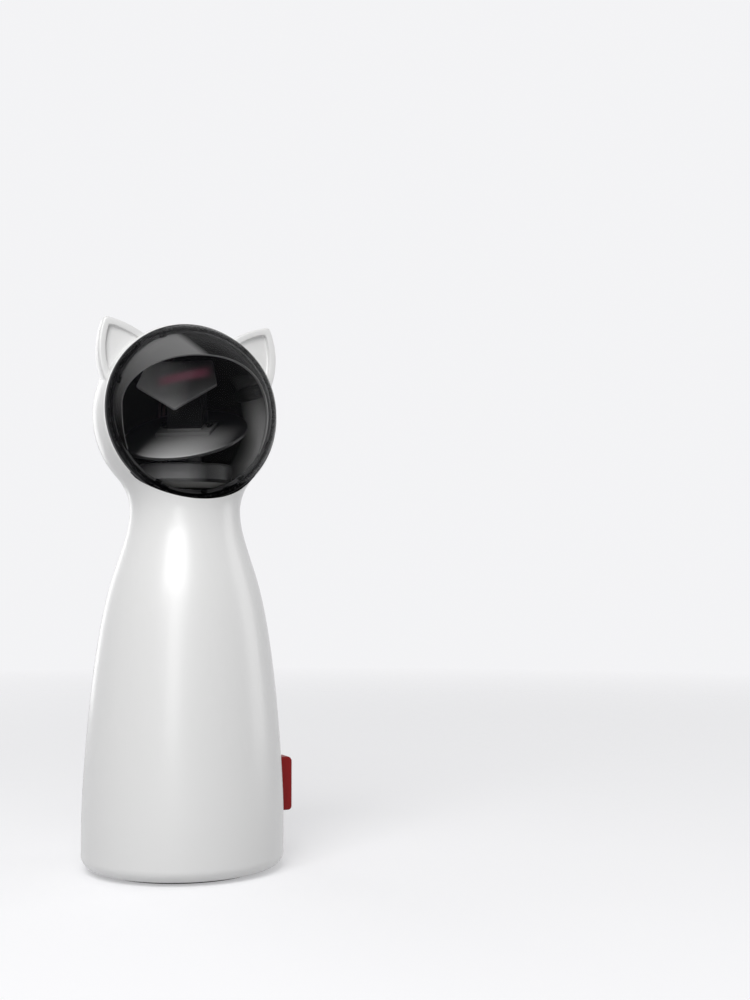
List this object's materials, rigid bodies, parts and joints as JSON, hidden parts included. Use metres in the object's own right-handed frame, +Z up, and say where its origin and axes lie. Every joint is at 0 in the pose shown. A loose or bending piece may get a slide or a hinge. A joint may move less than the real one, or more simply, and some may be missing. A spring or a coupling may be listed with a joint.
{
  "type": "automatic cat laser toy",
  "caption": "Free-standing cat-shaped toy whose motor turns a tilted mirror plate under a laser, behind a smoked dome, with a slide switch and a battery base.",
  "frame": {"origin": "centre of the foot ring's underside, on the body's axis", "axes": "+Z up along the body, -Y is where the face looks, +X is the side of the slide switch"},
  "size_m": [0.083, 0.078, 0.2127],
  "materials": {
    "shell_white": "glossy white",
    "smoked_clear": "smoked clear, glossy",
    "black_plastic": "satin black",
    "brow_black": "semi-gloss charcoal",
    "disc_black": "glossy black",
    "grey_plastic": "satin grey",
    "switch_red": "glossy red",
    "dark_rubber": "matt",
    "inner_white": "plain",
    "gear_plastic": "natural",
    "board_green": "solder mask",
    "chip_black": "matt",
    "steel": "plain",
    "spring_steel": "nickel plated",
    "brass": "turned",
    "lens_glass": "clear",
    "cell_jacket": "printed film, plain",
    "motor_steel": "plated can",
    "lead_red": "wire jacket",
    "lead_black": "wire jacket"
  },
  "bodies": {
    "housing": {"front_shell": "shell_white", "rear_shell": "shell_white", "shell_screws": "steel", "smoked_dome": "smoked_clear", "dome_ring": "black_plastic", "bezel": "brow_black", "base_plate": "black_plastic", "foot_ring": "dark_rubber", "battery_holder": "inner_white", "battery_cells": "cell_jacket", "top_contacts": "spring_steel", "base_screws": "steel", "main_board": "board_green", "board_components": "chip_black", "board_screws": "steel", "slide_switch": "chip_black", "usb_board": "board_green", "usb_socket": "spring_steel", "usb_screws": "steel", "gear_deck": "inner_white", "deck_screws": "steel", "gear_cover": "grey_plastic", "drum_axle": "steel", "axle_clip": "steel", "idler_pin": "steel", "gear_motor": "motor_steel", "motor_screws": "steel", "laser_housing": "black_plastic", "laser_module": "brass", "laser_lens": "lens_glass", "laser_screws": "steel", "laser_leads": "lead_red", "motor_leads": "lead_black", "battery_leads": "lead_red"},
    "rotor": {"drum_gear": "gear_plastic", "turntable": "disc_black", "turntable_screws": "steel", "mirror_bracket": "disc_black", "mirror_plate": "brow_black"},
    "idler": {"idler_gear": "gear_plastic"},
    "motor_drive": {"motor_shaft": "steel", "motor_pinion": "brass"},
    "switch": {"switch_cap": "switch_red", "switch_lever": "chip_black"},
    "cover": {"battery_cover": "black_plastic", "cover_contacts": "spring_steel"}
  },
  "joints": [
    {"name": "rotor_spin", "type": "hinge", "parent": "housing", "child": "rotor", "pos_m": [0, 0, 0.16], "axis": [0, 0, 1], "continuous": true},
    {"name": "idler_spin", "type": "hinge", "parent": "housing", "child": "idler", "pos_m": [0.0102, 0, 0.152], "axis": [0, 0, 1], "continuous": true},
    {"name": "motor_spin", "type": "hinge", "parent": "housing", "child": "motor_drive", "pos_m": [0.00359, 0.0061, 0.15], "axis": [0, 0, 1], "continuous": true},
    {"name": "switch_slide", "type": "slide", "parent": "housing", "child": "switch", "axis": [0, 0, 1], "range_m": [-0.0025, 0.0025]},
    {"name": "cover_twist", "type": "hinge", "parent": "housing", "child": "cover", "pos_m": [0, 0, 0.002], "axis": [0, 0, 1], "range_deg": [0, 25]}
  ],
  "couplings": [
    {"joint": "idler_spin", "follows": "rotor_spin", "ratio": -2.4},
    {"joint": "motor_spin", "follows": "rotor_spin", "ratio": 4.8}
  ]
}
